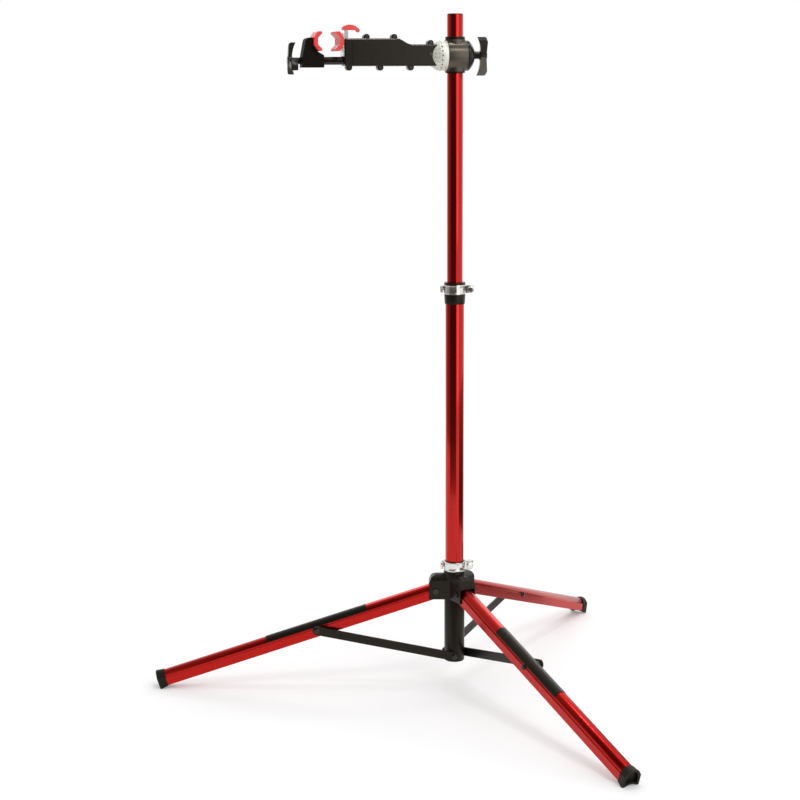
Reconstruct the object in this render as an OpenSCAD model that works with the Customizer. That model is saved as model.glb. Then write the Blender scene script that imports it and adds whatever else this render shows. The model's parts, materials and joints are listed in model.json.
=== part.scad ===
// Folding bicycle repair stand: telescoping mast on a tripod, with a swivelling screw clamp.
// Millimetres. Origin on the mast's axis at floor level, +Z up, the clamp arm along -X.

/* [Mast] */
// Outer diameter of the lower tube
lower_od = 38; // [34:0.5:44]
// Wall of the lower tube
lower_wall = 2; // [1.2:0.1:2.4]
// Height of the lower tube's top end
lower_top_z = 839.5; // [760:0.5:900]
// Outer diameter of the upper tube
upper_od = 32; // [28:0.5:32.5]
// Wall of the upper tube
upper_wall = 1.8; // [1.2:0.1:3]
// Length of the upper tube
upper_len = 849; // [700:1:900]
// Height of the upper tube's top end
mast_top_z = 1380; // [1300:1:1450]
// Thickness of the cap on the mast's top
top_cap_t = 2; // [1:0.5:6]
// Depth that plugs and caps reach into their tubes
plug_depth = 22; // [10:1:40]
// Height of the sliding bush at the upper tube's foot
tube_bush_h = 30; // [15:1:50]

/* [Base sleeve] */
// Height of the sleeve's lower end above the floor
sleeve_bottom_z = 63; // [50:1:75]
// Wall of the sleeve
sleeve_wall = 1.95; // [1:0.05:3]
// Thickness of the plug's rim under the sleeve
base_rim_t = 3; // [2:0.5:6]

/* [Legs] */
// Compass direction of the first leg
leg_turn = 167; // [0:1:359]
// Length of a leg from its pin to the end of its foot
leg_len = 614.4; // [520:0.1:700]
// Slope of an open leg below the horizontal
leg_slope = 18.5; // [15:0.1:24]
// Width of the leg's section
leg_w = 31; // [26:0.5:36]
// Height of the leg's section
leg_h = 31; // [28:0.5:38]
// Wall of the leg's section
leg_wall = 2; // [1.4:0.1:3]
// Width of the ledge beside the arch
leg_ledge = 1.6; // [0.8:0.1:3]
// Radius of the hollow along the underside
leg_hollow_r = 24; // [20:0.5:40]
// Depth of the hollow along the underside
leg_hollow_d = 3; // [1:0.25:5]
// Distance of the brace bolt from the leg's pin
leg_bolt_at = 261; // [230:1:280]

/* [Feet] */
// Rubber around the leg at the lip
cap_wall = 1; // [0.8:0.1:4]
// Widening of the foot from its lip to its end
cap_flare = 2; // [0.5:0.1:4]
// Rubber under the hollow along the leg's underside
cap_hollow_wall = 1.3; // [0.8:0.1:3]
// Length of the lip over the leg
cap_lip = 7; // [6:0.5:30]
// Depth of the hollow in the foot's end
cap_recess = 7; // [4:0.5:20]
// Thickness of the web between the leg's end and the hollow
cap_web = 3; // [2:0.5:6]
// Depth that the foot's corner is worn flat
foot_flat = 0.6; // [0.3:0.1:1.5]

/* [Braces] */
// Width of a brace bar
brace_w = 18; // [14:0.5:24]
// Thickness of a brace bar
brace_t = 4; // [3:0.25:6]
// Height of the brace rivets above the sleeve's lower end
brace_up = 10; // [9.5:0.5:30]
// Room between the sleeve and a brace bar
bar_room = 0.8; // [0.5:0.1:2]
// Radius of the bolts and rivets
bolt_r = 3.5; // [2.5:0.25:4]
// Radius of the bolt and rivet heads
bolt_head_r = 6; // [5:0.25:8]
// Height of the bolt and rivet heads
bolt_head_h = 2.6; // [1.5:0.1:4]
// Radius of the spacers beside the bars
spacer_r = 7; // [6:0.25:9]

/* [Hub] */
// Wall of the hub around the tube
hub_wall = 3.3; // [2:0.1:5]
// Reach of the leg lugs from the mast's axis
lug_reach = 53; // [48:0.5:62]
// Lug below the leg's pin
lug_below = 17; // [14:0.5:20]
// Lug above the leg's pin
lug_above = 35; // [30:0.5:42]
// Thickness of a lug's cheek
cheek_t = 2.5; // [2:0.25:2.75]
// Depth that the hub covers the sleeve's upper end
hub_cover = 9; // [6:0.5:12]
// Height of the hub's ring below its lugs
hub_lip = 1; // [0.5:0.25:3]
// Height of the hub's shoulder above the leg's pin
hub_above = 42; // [36:0.5:50]
// Radius of the leg pins
leg_pin_r = 4; // [3:0.25:6]
// Radius of the leg pins' heads
leg_pin_head_r = 6.5; // [5.5:0.25:8]

/* [Quick releases] */
// Compass direction of the ears
qr_turn = -14; // [-180:1:180]
// Height of a band
band_h = 19; // [14:0.5:24]
// Thickness of a band
band_t = 1.5; // [1:0.1:3]
// Height of the bead along a band's edge
bead_h = 2.2; // [1:0.1:3]
// Rise of the bead along a band's edge
bead_up = 0.7; // [0.3:0.1:1.2]
// Wall of the split neck under a band
neck_wall = 1.6; // [1.2:0.1:3]
// Width of the slit
slit_w = 3; // [2:0.25:5]
// Thickness of an ear
ear_t = 4; // [3:0.25:6]
// Distance of the skewer from the neck's face
skewer_out = 11; // [9.5:0.25:14]
// Radius of the skewer
skewer_r = 3; // [2:0.25:4]
// Radius of the lever's cam
cam_r = 8; // [6.5:0.25:9]
// Height of the lever
qr_lever_h = 13; // [11:0.5:18]
// Thickness of the lever's curved blade
qr_blade_t = 4; // [3:0.25:6]
// Room between the blade and the band
qr_blade_gap = 3; // [1.5:0.25:6]
// Angle that the lever's blade wraps round the mast
qr_wrap = 165; // [120:1:170]
// Length of the nut
nut_len = 9; // [6:0.5:14]
// Radius of the nut's flange
nut_r = 7.5; // [6:0.25:9]
// Height of the collar below its band
collar_skirt = 20; // [14:0.5:30]
// Length of the lower tube inside the collar's band
collar_cover = 10; // [6:0.5:16]
// Height of the collar's top flange
collar_flange_h = 4; // [3:0.5:8]

/* [Clamp head] */
// Distance of the clamp's axis below the mast's top
head_drop = 79; // [70:1:120]
// Radius of the head casting
head_r = 30; // [28:0.5:36]
// Reach of the casting on the handle's side
head_back = 20.5; // [19:0.5:26]
// Reach of the casting on the arm's side
head_front = 18.7; // [16:0.1:22]
// Wall of the split head bush
head_bush_wall = 2.45; // [1.8:0.05:3.5]
// Width of the slit in the head bush
bush_slit = 2; // [1:0.25:4]
// Height of the bush's upper flange
bush_flange_h = 5.3; // [3:0.1:8]
// Height of the bush's lower flange
bush_foot_h = 2.5; // [2:0.1:6]
// Wall of the casting around the bush
boss_wall = 1.95; // [1.5:0.05:4]
// Radius of the toothed ring and hub
index_r = 29.5; // [28:0.5:34]
// Reach of the toothed ring from the mast's axis
index_reach = 33; // [30:0.5:36]
// Number of teeth
tooth_n = 20; // [10:1:24]
// Depth of a tooth
tooth_d = 2.75; // [1.5:0.25:4]
// Radial length of a tooth
tooth_len = 5; // [3:0.5:8]
// Width of the flutes in the ball-shaped index hub
flute_w = 1.4; // [1:0.1:3]
// Depth of the flutes in the ball-shaped index hub
flute_d = 1.2; // [1:0.1:4]
// Radius of the index hub's ball
hub_ball_r = 30.7; // [30:0.1:34]
// Length of the index hub
index_hub_len = 16.6; // [12:0.2:17]
// Length of the dome on the handle's side
dome_len = 17.5; // [14:0.5:22]
// Radius of the ball that the dome is cut from
dome_ball_r = 39; // [35:0.5:50]
// Radius of the pressure shoe
shoe_r = 13; // [11:0.5:15]
// Radius of the clamp and feed screws
screw_r = 5; // [4:0.25:6]

/* [Arm] */
// Radius of the arm's stub shaft
shaft_r = 11; // [9:0.25:12]
// End of the arm shells, from the mast's axis
arm_end = 225; // [215:1:240]
// Bottom of the arm below the clamp's axis
arm_bottom = 20; // [19.6:0.1:24]
// Top of the arm's slim part above the axis
arm_low = 21.5; // [19:0.5:24]
// Top of the arm's tall part above the axis
arm_high = 33; // [31:0.5:38]
// Start of the step in the arm's top edge
arm_step_from = 91; // [75:1:96]
// Length of the step in the arm's top edge
arm_step_len = 30; // [20:1:45]
// Half of the arm's depth
arm_half = 19; // [18:0.5:24]
// Wall of the shells
shell_wall = 2; // [1.5:0.1:2.1]
// Width of the shells' chamfer
shell_chamfer = 2.5; // [1:0.25:3]
// Radius of the screw lugs
shell_lug_r = 6; // [5:0.25:8]
// Distance of a lug's screw outside the arm's edge
shell_lug_out = 2.6; // [1.5:0.1:4]
// Depth of a screw lug
shell_lug_d = 9; // [6:0.5:14]
// Radius of the shell screws
shell_screw_r = 2; // [1.5:0.1:3]
// Radius of the shell screws' heads
shell_screw_head_r = 3.6; // [3.2:0.1:5]

/* [Clamp rod] */
// Radius of the rod
rod_r = 7.8; // [6.5:0.1:7.9]
// Depth of the rod's axis below the clamp's axis
rod_drop = 9.6; // [9:0.1:10]
// Inner end of the rod, from the mast's axis
rod_from = 77; // [76:1:84]
// Outer end of the rod, from the mast's axis
rod_to = 289; // [284:1:289]
// Wall of the rod bushes
rod_bush_wall = 1.25; // [0.8:0.05:1.5]

/* [Jaws] */
// Gap between the jaw tips
jaw_gap = 27; // [22:0.5:40]
// Thickness of a jaw
jaw_t = 15.5; // [13:0.5:18]
// Depth of a jaw's groove
jaw_groove = 8; // [5:0.5:9]
// Depth of the slopes on a jaw's back
jaw_back_d = 8; // [4:0.5:9]
// Height of the slopes on a jaw's back
jaw_back_h = 11.5; // [6:0.5:12]
// Height of a jaw
jaw_h = 37; // [34:0.5:42]
// Bottom of the jaws above the clamp's axis
jaw_z = 8.7; // [8:0.1:12]
// Length of the jaws
jaw_len = 60; // [50:1:80]
// Number of ribs along a jaw
jaw_ribs = 5; // [2:1:10]
// Width of the cuts between the ribs
jaw_cut_w = 2; // [1:0.25:4]
// Depth of the cuts between the ribs
jaw_cut_d = 1.4; // [0.6:0.1:3]
// Thickness of the plate behind the fixed jaw
jaw_plate_t = 2; // [1.5:0.25:4]
// Half of the jaw carrier's depth
carrier_half = 18; // [16:0.5:24]
// Thickness of the jaw carrier behind its jaw
carrier_back = 21; // [19:0.5:32]

/* [Winged handles] */
// Reach of a wing from the head handle's axis
head_wing_reach = 40; // [34:0.25:46]
// Thickness of the head handle's wings at the stem
head_wing_waist = 12; // [8:0.5:14]
// Thickness of the head handle's wings at their tips
head_wing_tip = 20; // [16:0.5:22]
// Length of the head's handle from its base
head_handle_len = 24; // [23:0.5:34]
// Turn of the head's handle at rest
head_handle_turn = 36; // [-60:1:60]
// Reach of a wing from the jaw handle's axis
jaw_wing_reach = 34.5; // [28:0.25:40]
// Thickness of the jaw handle's wings at the stem
jaw_wing_waist = 7.5; // [6:0.5:10]
// Thickness of the jaw handle's wings at their tips
jaw_wing_tip = 13; // [11:0.5:18]
// Length of the jaw's handle from its base
jaw_handle_len = 26; // [24:0.5:34]
// Turn of the jaw's handle at rest
jaw_handle_turn = 8; // [-60:1:60]
// Width of a wing
wing_w = 12; // [8:0.5:16]
// Distance that a wing's tip is swept back from the handle's end
wing_sweep = 2.6; // [0:0.1:4]
// Radius of the stem
stem_r = 6.5; // [6:0.25:9]

/* [Fits] */
// Radial clearance of a running or sliding fit
run_gap = 0.05; // [0.02:0.01:0.08]
// Clearance between neighbouring pieces
gap = 0.3; // [0.2:0.05:0.5]
// Clearance beside a leg in its lug
leg_gap = 0.5; // [0.3:0.05:0.8]

/* [Hidden] */
$fn = 72;
eps = 0.01;
far = 200;
red = [0.70, 0.06, 0.09];
black = [0.09, 0.09, 0.10];
grey = [0.36, 0.36, 0.37];
chrome = [0.80, 0.80, 0.82];

lower_r = lower_od / 2;
upper_r = upper_od / 2;
sleeve_in = lower_r + run_gap;
sleeve_r = sleeve_in + sleeve_wall;

// Open tripod
leg_end_r = leg_h / 2 - gap;
hub_core_r = sleeve_in + hub_wall;
leg_pivot_r = hub_core_r + gap + leg_gap + leg_h / 2;
foot_below = leg_h / 2 + cap_wall + cap_flare;
leg_pivot_z = leg_len * sin(leg_slope) + foot_below * cos(leg_slope) - foot_flat;
leg_tube_end = leg_len - cap_recess - cap_web - gap;
cap_from = leg_tube_end - cap_lip;
leg_hollow_z = leg_hollow_d - leg_hollow_r - leg_h / 2;
brace_z = sleeve_bottom_z + brace_up;
bar_y = sleeve_r + bar_room;
spacer_y = bar_y - gap;
bolt_at_r = leg_pivot_r + leg_bolt_at * cos(leg_slope);
bolt_at_z = leg_pivot_z - leg_bolt_at * sin(leg_slope);
brace_rise = atan2(bolt_at_z - brace_z, bolt_at_r);
brace_len = norm([bolt_at_r, bolt_at_z - brace_z]);

// Hub
hub_bottom_z = leg_pivot_z - lug_below;
hub_top_z = leg_pivot_z + hub_above;
hub_seat_z = hub_bottom_z + hub_cover;
slot_half = leg_w / 2 + leg_gap;
lug_half = slot_half + cheek_t;
lug_top_r = lug_half + 1.5;
lug_spring = lug_above - lug_top_r + 4;

// Quick releases, each clamping a split neck on the lower tube
neck_r = sleeve_in + neck_wall;
band_in = neck_r + run_gap;
band_out = band_in + band_t;
skewer_x = neck_r + skewer_out;
ear_y = slit_w / 2 + ear_t;
cam_y = ear_y + cam_r + gap;
eye_r = cam_r - 3;
eye_h = 2 * skewer_r;
fork_slot = eye_h + 2 * gap;
cam_pin_r = 2.4;
blade_in = band_out + qr_blade_gap;
hub_band_z = hub_top_z;
collar_band_z = lower_top_z - collar_cover;

// Upper tube
upper_bottom_z = mast_top_z - upper_len;

// Clamp head
head_z = mast_top_z - head_drop;
head_bush_in = upper_r + run_gap;
head_bush_r = head_bush_in + head_bush_wall;
boss_in = head_bush_r + run_gap;
boss_r = boss_in + boss_wall;
boss_half = head_r + 1;
flange_from = boss_half + gap;
flange_r = boss_r - 1;
brake_r = shaft_r - 2;
shaft_from = boss_r + gap;
clip_t = 1.2;
clip_at = shaft_from + 0.9;
clip_r = shaft_r + 2.6;
clip_groove_r = shaft_r - 1.4;
clip_mouth = 6;
clip_room = clip_at + clip_t + gap;
index_hub_from = index_reach + gap;
index_hub_to = index_hub_from + index_hub_len;
hub_ball_at = index_hub_from + 0.7 - sqrt(hub_ball_r * hub_ball_r - index_r * index_r);
dome_from = max(head_back, boss_r) + gap;
dome_to = dome_from + dome_len;
dome_tip_r = stem_r + 3;
dome_ball_at = dome_to - sqrt(dome_ball_r * dome_ball_r - dome_tip_r * dome_tip_r);
shoe_back = head_bush_r + 4;
shoe_room = 2.5;

// Arm, measured outward from the mast's axis
arm_from = index_hub_from + 3;
shaft_to = index_hub_to + 8;
arm_step_to = arm_step_from + arm_step_len;
cavity_from = shaft_to - 2;
rod_z = -rod_drop;
rod_bush_r = rod_r + run_gap + rod_bush_wall;
front_bush_from = arm_end - 11.5;
rear_bush_from = arm_step_to - 3;
rear_bush_len = 12;

// Small screw in the arm's side
side_screw_t = index_hub_to + 4;
side_screw_z = 3;
side_screw_d = 5.5;

// Release lever and half nut
stem_swing = 2.5;
lever_half = 5;
lever_pivot_t = arm_end - 37;
lever_pivot_z = 20.5;
lever_pin_r = 2.5;
lever_boss_r = 5;
lever_bar_h = 5.5;
lever_bar_z = lever_pivot_z - 0.5;
stem_from = arm_end - 10;
stem_to = arm_end - 4;
hook_r = 23.5;
hook_t = stem_to - 9.6;
hook_z = arm_high + 2.8;
hook_under = arm_high + 15.6;
hook_blunt = stem_to + 4.8;
hook_tip = stem_to - 27.5;
hook_tip_r = 3.4;
half_nut_from = arm_end - 27;
half_nut_to = front_bush_from - 1.5;
half_nut_top = 8;

// Jaws
fixed_jaw_from = arm_end + gap + jaw_plate_t + gap;
fixed_jaw_tip = fixed_jaw_from + jaw_t;
moving_jaw_tip = fixed_jaw_tip + jaw_gap;
moving_jaw_to = moving_jaw_tip + jaw_t;
carrier_seat = moving_jaw_to + gap;
carrier_end = carrier_seat + carrier_back;
carrier_foot = moving_jaw_tip - 5.5;
feed_room = 9;
rod_bore_end = rod_to + feed_room;
feed_tip = rod_to - 34;
feed_hole_end = feed_tip - 12;
handle_gap = 0.4;
handle_bore = 13;
touch = 0.1;

// Frames

// A leg's own frame: +X outward from the mast, +Y to the left of that
module at_leg(i) {
    rotate([0, 0, leg_turn + 120 * i]) children();
}

// Along an open leg: +X from the pin towards the foot
module along_leg(i) {
    at_leg(i) translate([leg_pivot_r, 0, leg_pivot_z]) rotate([0, leg_slope, 0]) children();
}

// Along an open brace: +X from the rivet towards the leg's bolt, Y = 0 on the bar's inner face
module along_brace(i) {
    at_leg(i) translate([0, bar_y, brace_z]) rotate([0, -brace_rise, 0]) children();
}

// The clamp head's frame: +X towards the head's own handle
module at_head() {
    translate([0, 0, head_z]) children();
}

// The arm's frame: +X outward along the arm, +Y on its front
module at_arm() {
    at_head() rotate([0, 0, 180]) children();
}

// A quick release's frame: +X through the middle of its ears
module at_qr(z) {
    translate([0, 0, z]) rotate([0, 0, qr_turn]) children();
}

// Shared shapes

module tube(r_out, r_in, h) {
    difference() {
        cylinder(r = r_out, h = h);
        translate([0, 0, -1]) cylinder(r = r_in, h = h + 2);
    }
}

// A cylinder along X from one place to another
module rod_x(r, from, to) {
    translate([from, 0, 0]) rotate([0, 90, 0]) cylinder(r = r, h = to - from);
}

// A cylinder along Y from one place to another
module rod_y(r, from, to) {
    translate([0, from, 0]) rotate([-90, 0, 0]) cylinder(r = r, h = to - from);
}

// A flat outline in X and Z, given thickness along Y
module plate_y(from, to) {
    translate([0, to, 0]) rotate([90, 0, 0]) linear_extrude(to - from) children();
}

// An outline across X, given length along X
module bar_x(from, to) {
    translate([from, 0, 0]) rotate([90, 0, 90]) linear_extrude(to - from) children();
}

// A closed skin through rings of points that all have the same count
module loft(rings) {
    n = len(rings[0]);
    last = len(rings) - 1;
    sides = [for (k = [0:last - 1]) for (i = [0:n - 1])
        [k * n + i, (k + 1) * n + i, (k + 1) * n + (i + 1) % n, k * n + (i + 1) % n]];
    start = [for (i = [0:n - 1]) i];
    end = [for (i = [n - 1:-1:0]) last * n + i];
    polyhedron(points = [for (ring = rings) each ring], faces = concat([start], sides, [end]));
}

// Points along an arc
function arc(cx, cy, r, from, to, steps) =
    [for (i = [0:steps]) let (a = from + (to - from) * i / steps) [cx + r * cos(a), cy + r * sin(a)]];

// Mast

module lower_tube() color(red) {
    translate([0, 0, sleeve_bottom_z])
        tube(lower_r, lower_r - lower_wall, lower_top_z - sleeve_bottom_z);
}

module upper_tube() color(red) {
    translate([0, 0, upper_bottom_z]) tube(upper_r, upper_r - upper_wall, upper_len);
}

module tube_bush() color(black) {
    bore = lower_r - lower_wall;
    translate([0, 0, upper_bottom_z]) tube(bore - run_gap, upper_r + run_gap, tube_bush_h);
}

module top_cap() color(black) {
    translate([0, 0, mast_top_z]) {
        cylinder(r1 = upper_r, r2 = upper_r - 1, h = top_cap_t);
        translate([0, 0, -plug_depth])
            cylinder(r = upper_r - upper_wall - run_gap, h = plug_depth + eps);
    }
}

module base_sleeve() color(black) {
    difference() {
        union() {
            translate([0, 0, sleeve_bottom_z])
                cylinder(r = sleeve_r, h = hub_seat_z - gap - sleeve_bottom_z);
            for (i = [0:2]) at_leg(i) translate([0, 0, brace_z]) rod_y(spacer_r, sleeve_in - 2, spacer_y);
        }
        translate([0, 0, sleeve_bottom_z - 1]) cylinder(r = sleeve_in, h = hub_seat_z);
        for (i = [0:2]) at_leg(i) translate([0, 0, brace_z]) rod_y(bolt_r + run_gap, 0, far);
    }
}

module base_plug() color(black) {
    translate([0, 0, sleeve_bottom_z - base_rim_t]) {
        cylinder(r1 = sleeve_r - 1, r2 = sleeve_r, h = base_rim_t);
        cylinder(r = lower_r - lower_wall - run_gap, h = base_rim_t + plug_depth);
    }
}

module brace_rivets() color(chrome) {
    for (i = [0:2]) at_leg(i) translate([0, 0, brace_z]) {
        rod_y(bolt_r, sleeve_in + 0.2, bar_y + brace_t + gap + eps);
        translate([0, bar_y + brace_t + gap, 0]) rivet_head();
    }
}

// A low domed head whose flat side faces -Y
module rivet_head() {
    rotate([-90, 0, 0]) {
        cylinder(r = bolt_head_r, h = bolt_head_h / 2);
        translate([0, 0, bolt_head_h / 2])
            cylinder(r1 = bolt_head_r, r2 = bolt_head_r * 0.6, h = bolt_head_h / 2);
    }
}

module mid_collar() color(black) {
    top_z = collar_band_z + band_h;
    skirt_low_r = band_out - 1.6;
    skirt_top_r = band_out - 0.6;
    slit_below = 4;
    difference() {
        union() {
            translate([0, 0, collar_band_z - collar_skirt])
                cylinder(r1 = skirt_low_r, r2 = skirt_top_r, h = collar_skirt - gap);
            translate([0, 0, collar_band_z - gap - eps]) cylinder(r = neck_r, h = band_h + 2 * gap);
            translate([0, 0, top_z + gap]) cylinder(r = skirt_top_r, h = collar_flange_h);
        }
        translate([0, 0, collar_band_z - collar_skirt - 1])
            cylinder(r = sleeve_in, h = lower_top_z + gap - collar_band_z + collar_skirt + 1);
        cylinder(r = upper_r + run_gap, h = top_z + far);
        at_qr(collar_band_z - slit_below) translate([0, -slit_w / 2, 0]) cube([far, slit_w, band_h + far]);
    }
}

// Quick releases

module qr_band(z) {
    at_qr(z) difference() {
        union() {
            qr_hoop();
            for (side = [-1, 1]) translate([0, side * (slit_w + ear_t) / 2, 0]) qr_ear();
        }
        translate([0, 0, -1]) cylinder(r = band_in, h = band_h + 2);
        translate([0, -slit_w / 2, -1]) cube([far, slit_w, band_h + 2]);
        translate([skewer_x, 0, band_h / 2]) rod_y(skewer_r + run_gap, -far, far);
    }
}

// The band's hoop, filled in, with a bead along each edge
module qr_hoop() {
    bead_r = band_out + bead_up;
    rotate_extrude() polygon([
        [0, 0], [bead_r, 0], [bead_r, bead_h], [band_out, bead_h + bead_up],
        [band_out, band_h - bead_h - bead_up], [bead_r, band_h - bead_h], [bead_r, band_h], [0, band_h]
    ]);
}

// One flat ear, round at its free end, centred on Y
module qr_ear() {
    ear_r = band_h / 2 - 2;
    translate([0, -ear_t / 2, band_h / 2 - ear_r]) cube([skewer_x, ear_t, 2 * ear_r]);
    translate([skewer_x, 0, band_h / 2]) rod_y(ear_r, -ear_t / 2, ear_t / 2);
}

module qr_skewer(z) {
    at_qr(z + band_h / 2) translate([skewer_x, 0, 0]) {
        rod_y(skewer_r, -ear_y - nut_len + 2, cam_y);
        translate([0, cam_y, -eye_h / 2]) cylinder(r = eye_r, h = eye_h);
        translate([0, cam_y, -qr_lever_h / 2]) cylinder(r = cam_pin_r, h = qr_lever_h);
    }
}

module qr_nut(z) {
    at_qr(z + band_h / 2) translate([skewer_x, -ear_y, 0]) rotate([90, 0, 0]) difference() {
        union() {
            cylinder(r = nut_r, h = nut_len * 0.28);
            cylinder(r1 = nut_r * 0.88, r2 = nut_r * 0.7, h = nut_len);
        }
        translate([0, 0, -1]) cylinder(r = skewer_r + run_gap, h = nut_len - 1);
    }
}

// Top view of the lever's blade, wrapping round the back of the mast to a bead at its end
module qr_blade() {
    blade_start = atan2(cam_y, skewer_x);
    bead_r = qr_blade_t / 2 + 0.8;
    bead_at = blade_start + qr_wrap + 2;
    difference() {
        circle(r = blade_in + qr_blade_t);
        circle(r = blade_in);
        polygon(concat([[0, 0]], arc(0, 0, far, blade_start + qr_wrap, blade_start + 360, 3)));
    }
    translate((blade_in + qr_blade_t / 2) * [cos(bead_at), sin(bead_at)]) circle(r = bead_r);
}

// The lever's fork turns on the skewer's pin
module qr_lever(z) {
    at_qr(z + band_h / 2) difference() {
        translate([0, 0, -qr_lever_h / 2]) linear_extrude(qr_lever_h) {
            translate([skewer_x, cam_y]) circle(r = cam_r);
            qr_blade();
        }
        translate([skewer_x, cam_y, -fork_slot / 2]) cylinder(r = cam_r + gap, h = fork_slot);
        translate([skewer_x, cam_y, -qr_lever_h]) cylinder(r = cam_pin_r + run_gap, h = 2 * qr_lever_h);
    }
}

module mid_qr_band() color(chrome) qr_band(collar_band_z);
module mid_qr_skewer() color(chrome) qr_skewer(collar_band_z);
module mid_qr_nut() color(chrome) qr_nut(collar_band_z);
module mid_qr_lever() color(chrome) qr_lever(collar_band_z);
module hub_qr_band() color(chrome) qr_band(hub_band_z + gap);
module hub_qr_skewer() color(chrome) qr_skewer(hub_band_z + gap);
module hub_qr_nut() color(chrome) qr_nut(hub_band_z + gap);
module hub_qr_lever() color(chrome) qr_lever(hub_band_z + gap);

// Tripod

// Side view of a lug, from the mast's axis outward
module lug_side() {
    upper = [15, 6];
    lower = [5, 17];
    polygon([
        [0, -lug_below], [lug_reach, -lug_below], [lug_reach, lug_above - lower[1]],
        [lug_reach - lower[0], lug_above - upper[1]], [lug_reach - upper[0], lug_above], [0, lug_above]
    ]);
}

// A hood over a leg's end, with an arched top
module lug() {
    intersection() {
        plate_y(-lug_half, lug_half) lug_side();
        bar_x(-1, lug_reach + 1) {
            translate([-lug_half - 1, -2 * lug_below])
                square([2 * lug_half + 2, 2 * lug_below + lug_spring]);
            translate([0, lug_above - lug_top_r]) circle(r = lug_top_r);
        }
    }
}

module tripod_hub() color(black) {
    difference() {
        union() {
            translate([0, 0, hub_bottom_z - hub_lip])
                cylinder(r = hub_core_r, h = hub_top_z - hub_bottom_z + hub_lip);
            translate([0, 0, hub_top_z - eps]) cylinder(r = neck_r, h = band_h + 2 * gap);
            for (i = [0:2]) at_leg(i) translate([0, 0, leg_pivot_z]) lug();
        }
        translate([0, 0, hub_bottom_z - far]) cylinder(r = sleeve_in, h = 2 * far);
        translate([0, 0, hub_seat_z - far]) cylinder(r = sleeve_r + gap, h = far);
        for (i = [0:2]) leg_slot(i);
        for (i = [0:2])
            at_leg(i) translate([leg_pivot_r, 0, leg_pivot_z]) rod_y(leg_pin_r + run_gap, -far, far);
        at_qr(hub_top_z) translate([0, -slit_w / 2, 0]) cube([far, slit_w, far]);
    }
}

// Room for one leg from open to folded, clear of the hub's core
module leg_slot(i) {
    half_h = leg_h / 2 + leg_gap;
    at_leg(i) translate([leg_pivot_r, 0, leg_pivot_z]) plate_y(-slot_half, slot_half) {
        circle(r = leg_end_r + leg_gap);
        rotate(-leg_slope) square([far, half_h]);
        translate([-half_h, -far]) square([far, far]);
    }
}

module leg_pins() color(chrome) {
    for (i = [0:2]) at_leg(i) translate([leg_pivot_r, 0, leg_pivot_z]) {
        rod_y(leg_pin_r, -lug_half - eps, lug_half + eps);
        for (side = [0, 1])
            mirror([0, side, 0]) rod_y(leg_pin_head_r, lug_half, lug_half + bolt_head_h);
    }
}

// The leg's section, grown outward all round: flat sides, an arched top and a hollow underside
module leg_shape(grow) {
    half = leg_w / 2 + grow;
    arch_r = leg_w / 2 - leg_ledge;
    arch_y = leg_h / 2 - arch_r;
    difference() {
        union() {
            translate([-half, -leg_h / 2 - grow]) square([2 * half, leg_h / 2 + 2 * grow + arch_y]);
            translate([0, arch_y]) circle(r = arch_r + grow);
        }
        translate([0, leg_hollow_z]) circle(r = leg_hollow_r - grow);
    }
}

module leg(i) color(red) {
    along_leg(i) difference() {
        bar_x(-leg_end_r - 1, leg_tube_end) leg_shape(0);
        bar_x(-far, far + leg_len) leg_shape(-leg_wall);
        difference() {
            translate([-2 * leg_h, -leg_w, -leg_h]) cube([2 * leg_h, 2 * leg_w, 2 * leg_h]);
            rod_y(leg_end_r, -2 * leg_w, 2 * leg_w);
        }
        rod_y(leg_pin_r + run_gap, -far, far);
        translate([leg_bolt_at, 0, 0]) rod_y(bolt_r + run_gap, -far, far);
    }
}

module foot_cap(i) color(black) {
    cap_edge = 1;
    difference() {
        along_leg(i) difference() {
            hull() {
                bar_x(cap_from, cap_from + cap_edge) leg_shape(cap_wall, $fn = 40);
                bar_x(leg_len - cap_edge, leg_len) leg_shape(cap_wall + cap_flare, $fn = 40);
            }
            translate([0, 0, leg_hollow_z]) rod_x(leg_hollow_r - cap_hollow_wall, cap_from - 1, leg_len + 1);
            bar_x(cap_from - 1, leg_tube_end + gap) leg_shape(run_gap);
            bar_x(leg_len - cap_recess, leg_len + 1) leg_shape(-leg_wall);
        }
        translate([-2 * leg_len, -2 * leg_len, -far]) cube([4 * leg_len, 4 * leg_len, far]);
    }
}

module leg_bolt(i) color(chrome) {
    half = leg_w / 2;
    along_leg(i) translate([leg_bolt_at, 0, 0]) {
        rod_y(bolt_r, -half - eps, spacer_y - eps);
        rod_y(spacer_r, half, spacer_y);
        translate([0, -half, 0]) mirror([0, 1, 0]) rivet_head();
    }
}

module brace(i) color(black) {
    along_brace(i) difference() {
        union() {
            translate([0, 0, -brace_w / 2]) cube([brace_len, brace_t, brace_w]);
            for (x = [0, brace_len]) translate([x, 0, 0]) rod_y(brace_w / 2, 0, brace_t);
        }
        for (x = [0, brace_len]) translate([x, 0, 0]) rod_y(bolt_r + run_gap, -1, brace_t + 1);
    }
}

module brace_bolt(i) color(chrome) {
    along_brace(i) translate([brace_len, 0, 0]) {
        rod_y(bolt_r, 0, brace_t + eps);
        translate([0, brace_t, 0]) rivet_head();
    }
}

// Clamp head

module head_bush() color(black) {
    at_head() difference() {
        union() {
            translate([0, 0, -flange_from - eps])
                cylinder(r = head_bush_r, h = 2 * (flange_from + eps));
            translate([0, 0, flange_from]) cylinder(r = flange_r, h = bush_flange_h);
            translate([0, 0, -flange_from - bush_foot_h]) cylinder(r = flange_r, h = bush_foot_h);
        }
        translate([0, 0, -far]) cylinder(r = head_bush_in, h = 2 * far);
        translate([-bush_slit / 2, 0, -far]) cube([bush_slit, far, 2 * far]);
    }
}

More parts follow.
